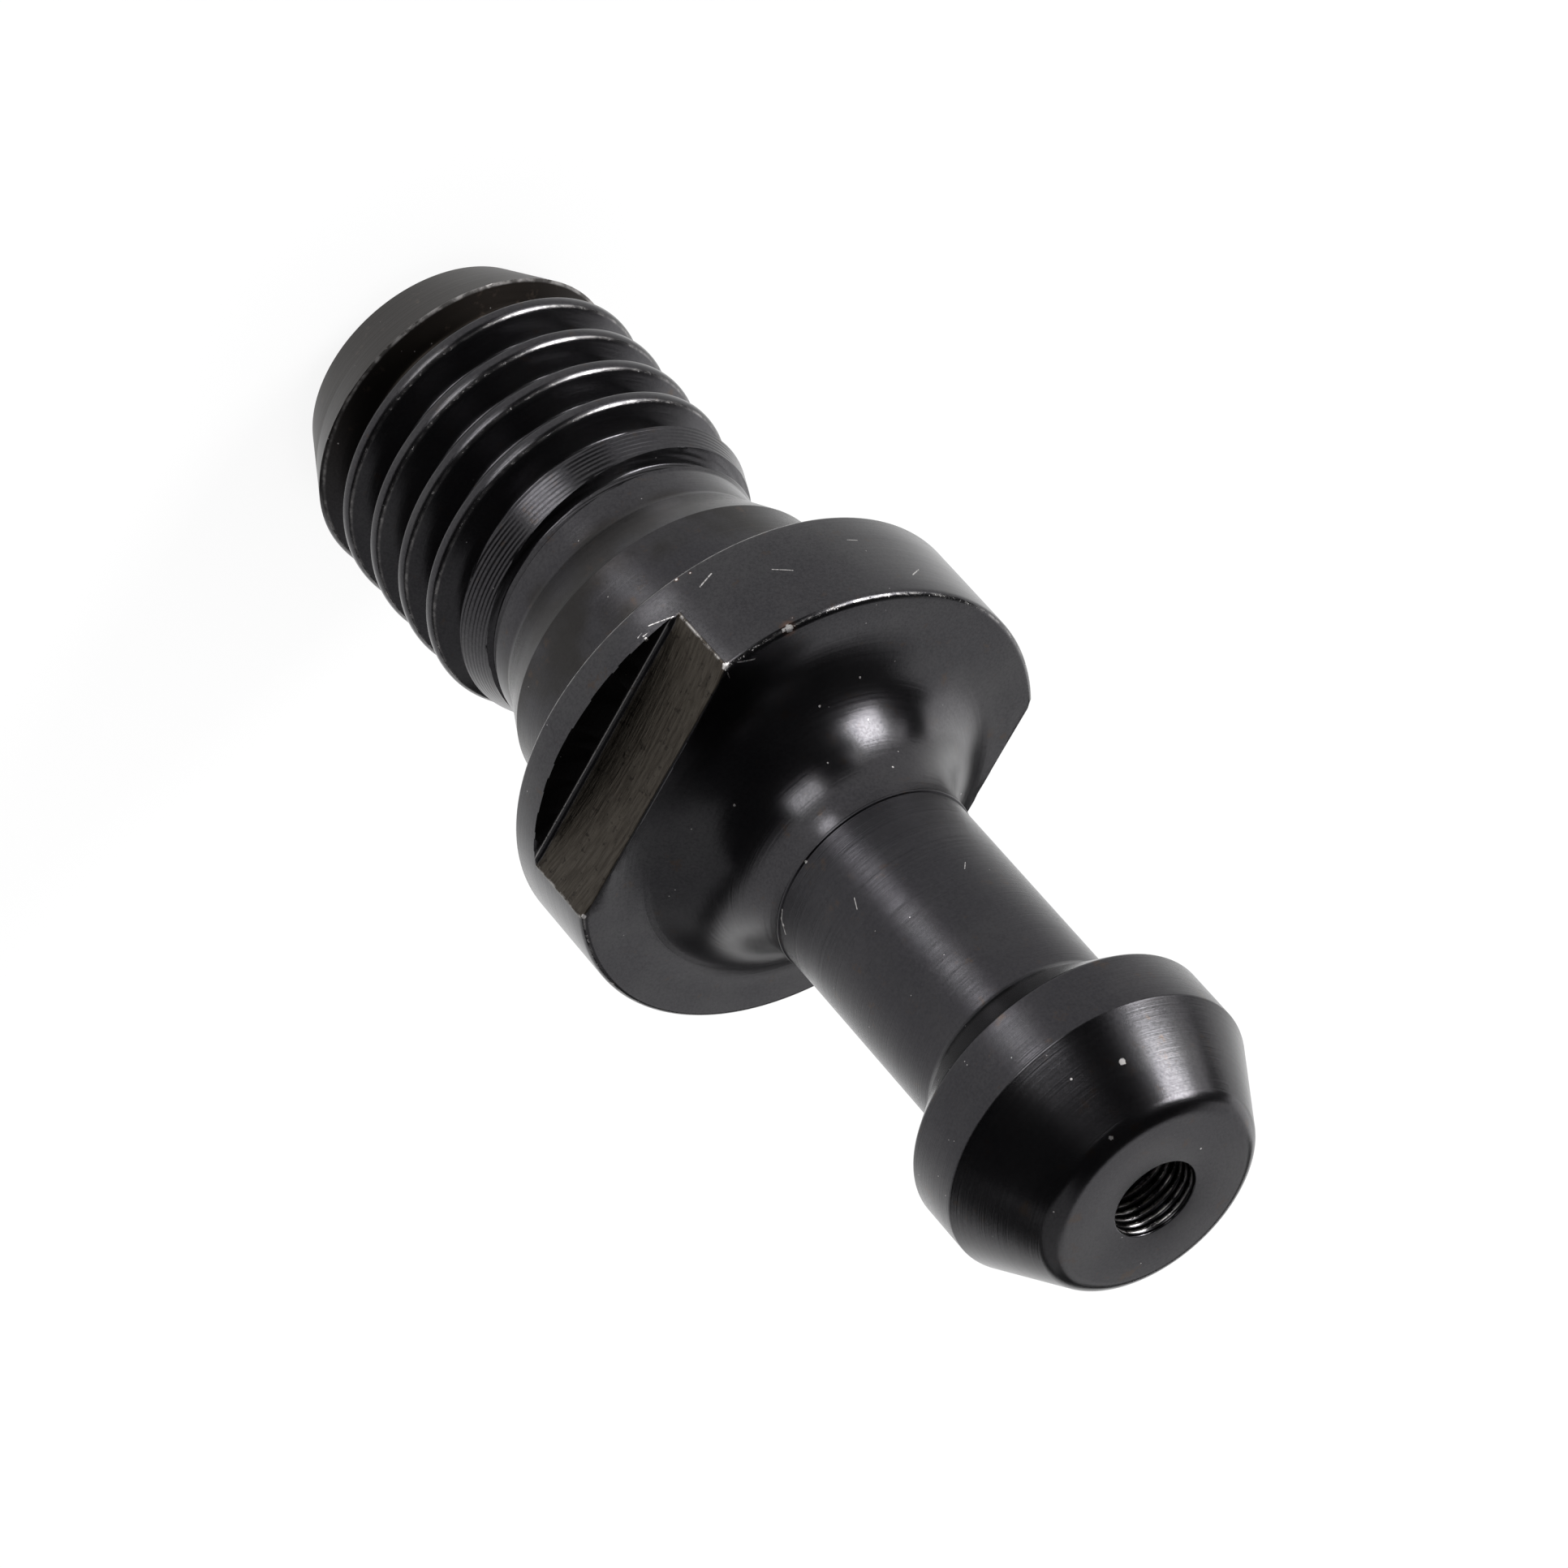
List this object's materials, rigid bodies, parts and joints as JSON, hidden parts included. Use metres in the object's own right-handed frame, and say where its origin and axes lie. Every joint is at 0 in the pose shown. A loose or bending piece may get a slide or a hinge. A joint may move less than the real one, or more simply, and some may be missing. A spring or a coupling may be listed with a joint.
{
  "type": "pull stud",
  "caption": "Threaded pull stud with a grooved neck, cone-shouldered grip head, spanner-flat flange and a through coolant hole.",
  "frame": {"origin": "centre of the thread's flat end face, on which the stud stands", "axes": "+Z along the stud's axis from the thread to the head; +X square to one of the two spanner flats"},
  "size_m": [0.0164, 0.0164, 0.042],
  "materials": {
    "blackened_steel": "hardened steel, oiled black oxide, semi-gloss, with bright nicks on the edges"
  },
  "bodies": {
    "root": {"stud": "blackened_steel"}
  },
  "joints": []
}
